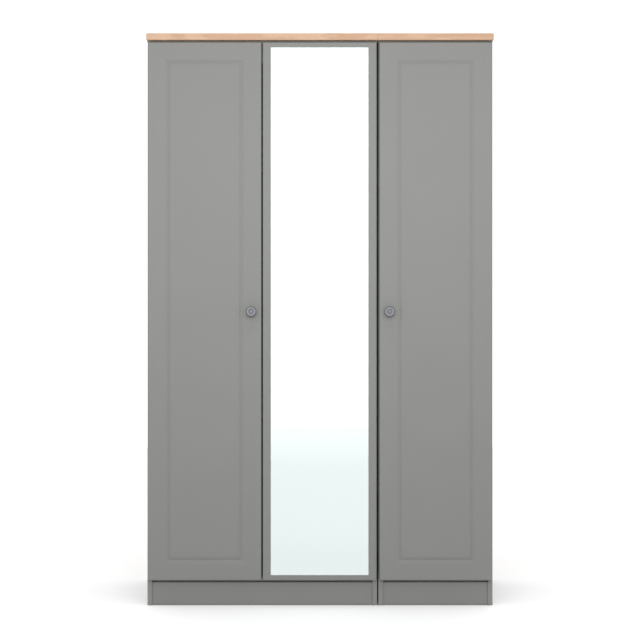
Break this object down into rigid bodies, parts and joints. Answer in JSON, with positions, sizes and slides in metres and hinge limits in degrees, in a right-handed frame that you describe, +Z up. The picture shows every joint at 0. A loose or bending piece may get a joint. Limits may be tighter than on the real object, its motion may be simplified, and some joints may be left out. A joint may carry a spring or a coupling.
{
  "type": "wardrobe",
  "caption": "Freestanding wardrobe of a wide and a narrow unit with panelled doors, a mirror door, round knobs, hat shelves and hanging rails.",
  "frame": {"origin": "on the floor, at the middle of the overall width and depth, knobs included", "axes": "+X to the right as seen by someone facing the doors, +Y from the doors to the back, +Z up"},
  "size_m": [1.11, 0.554, 1.83],
  "materials": {
    "oak_foil": "matt oak-grained foil",
    "grey_door_foil": "satin grey vinyl foil over medium-density fibreboard",
    "grey_board": "matt grey melamine over chipboard",
    "hardboard": "grey faced hardboard",
    "chromed_tube": "bright chromed tube",
    "white_plastic": "moulded plastic and foam tape",
    "beech": "plain fluted beech",
    "zinc_casting": "die-cast zinc",
    "pewter_knob": "satin pewter plating",
    "mirror": "silvered float glass",
    "zinc_plated_steel": "bright zinc or nickel plated steel"
  },
  "bodies": {
    "carcass": {"double_top_panel": "oak_foil", "double_left_side": "grey_board", "double_right_side": "grey_board", "double_floor_panel": "grey_board", "double_plinth": "grey_door_foil", "double_front_rail": "grey_board", "double_rear_rail": "grey_board", "double_back_panel": "hardboard", "double_hat_shelf": "grey_board", "double_hanging_rail": "chromed_tube", "single_top_panel": "oak_foil", "single_left_side": "grey_board", "single_right_side": "grey_board", "single_floor_panel": "grey_board", "single_plinth": "grey_door_foil", "single_front_rail": "grey_board", "single_rear_rail": "grey_board", "single_back_panel": "hardboard", "single_hat_shelf": "grey_board", "single_hanging_rail": "chromed_tube", "hanging_rail_sockets": "white_plastic", "socket_screws": "zinc_plated_steel", "shelf_pins": "zinc_plated_steel", "carcass_dowels": "beech", "cam_locks": "zinc_casting", "cam_bolts": "zinc_plated_steel", "back_panel_screws": "zinc_plated_steel", "connector_sleeves": "zinc_plated_steel", "connector_bolts": "zinc_plated_steel", "connector_spacers": "white_plastic", "door_bumpers": "white_plastic", "left_hinge_arms": "zinc_plated_steel", "left_hinge_plates": "zinc_plated_steel", "mirror_hinge_arms": "zinc_plated_steel", "mirror_hinge_plates": "zinc_plated_steel", "right_hinge_arms": "zinc_plated_steel", "right_hinge_plates": "zinc_plated_steel", "hinge_plate_screws": "zinc_plated_steel", "hinge_arm_screws": "zinc_plated_steel"},
    "left_door": {"left_door_panel": "grey_door_foil", "left_hinge_cups": "zinc_plated_steel", "left_hinge_pins": "zinc_plated_steel", "left_cup_screws": "zinc_plated_steel", "left_knob": "pewter_knob", "left_knob_screw": "zinc_plated_steel"},
    "mirror_door": {"mirror_door_panel": "grey_door_foil", "mirror_glass": "mirror", "mirror_tape": "white_plastic", "mirror_hinge_cups": "zinc_plated_steel", "mirror_hinge_pins": "zinc_plated_steel", "mirror_cup_screws": "zinc_plated_steel"},
    "right_door": {"right_door_panel": "grey_door_foil", "right_hinge_cups": "zinc_plated_steel", "right_hinge_pins": "zinc_plated_steel", "right_cup_screws": "zinc_plated_steel", "right_knob": "pewter_knob", "right_knob_screw": "zinc_plated_steel"}
  },
  "joints": [
    {"name": "left_door_hinge", "type": "hinge", "parent": "carcass", "child": "left_door", "pos_m": [-0.5425, -0.241, 0.942], "axis": [0, 0, -1], "range_deg": [0, 100]},
    {"name": "mirror_door_hinge", "type": "hinge", "parent": "carcass", "child": "mirror_door", "pos_m": [0.1725, -0.241, 0.942], "axis": [0, 0, 1], "range_deg": [0, 100]},
    {"name": "right_door_hinge", "type": "hinge", "parent": "carcass", "child": "right_door", "pos_m": [0.5425, -0.241, 0.942], "axis": [0, 0, 1], "range_deg": [0, 100]}
  ]
}
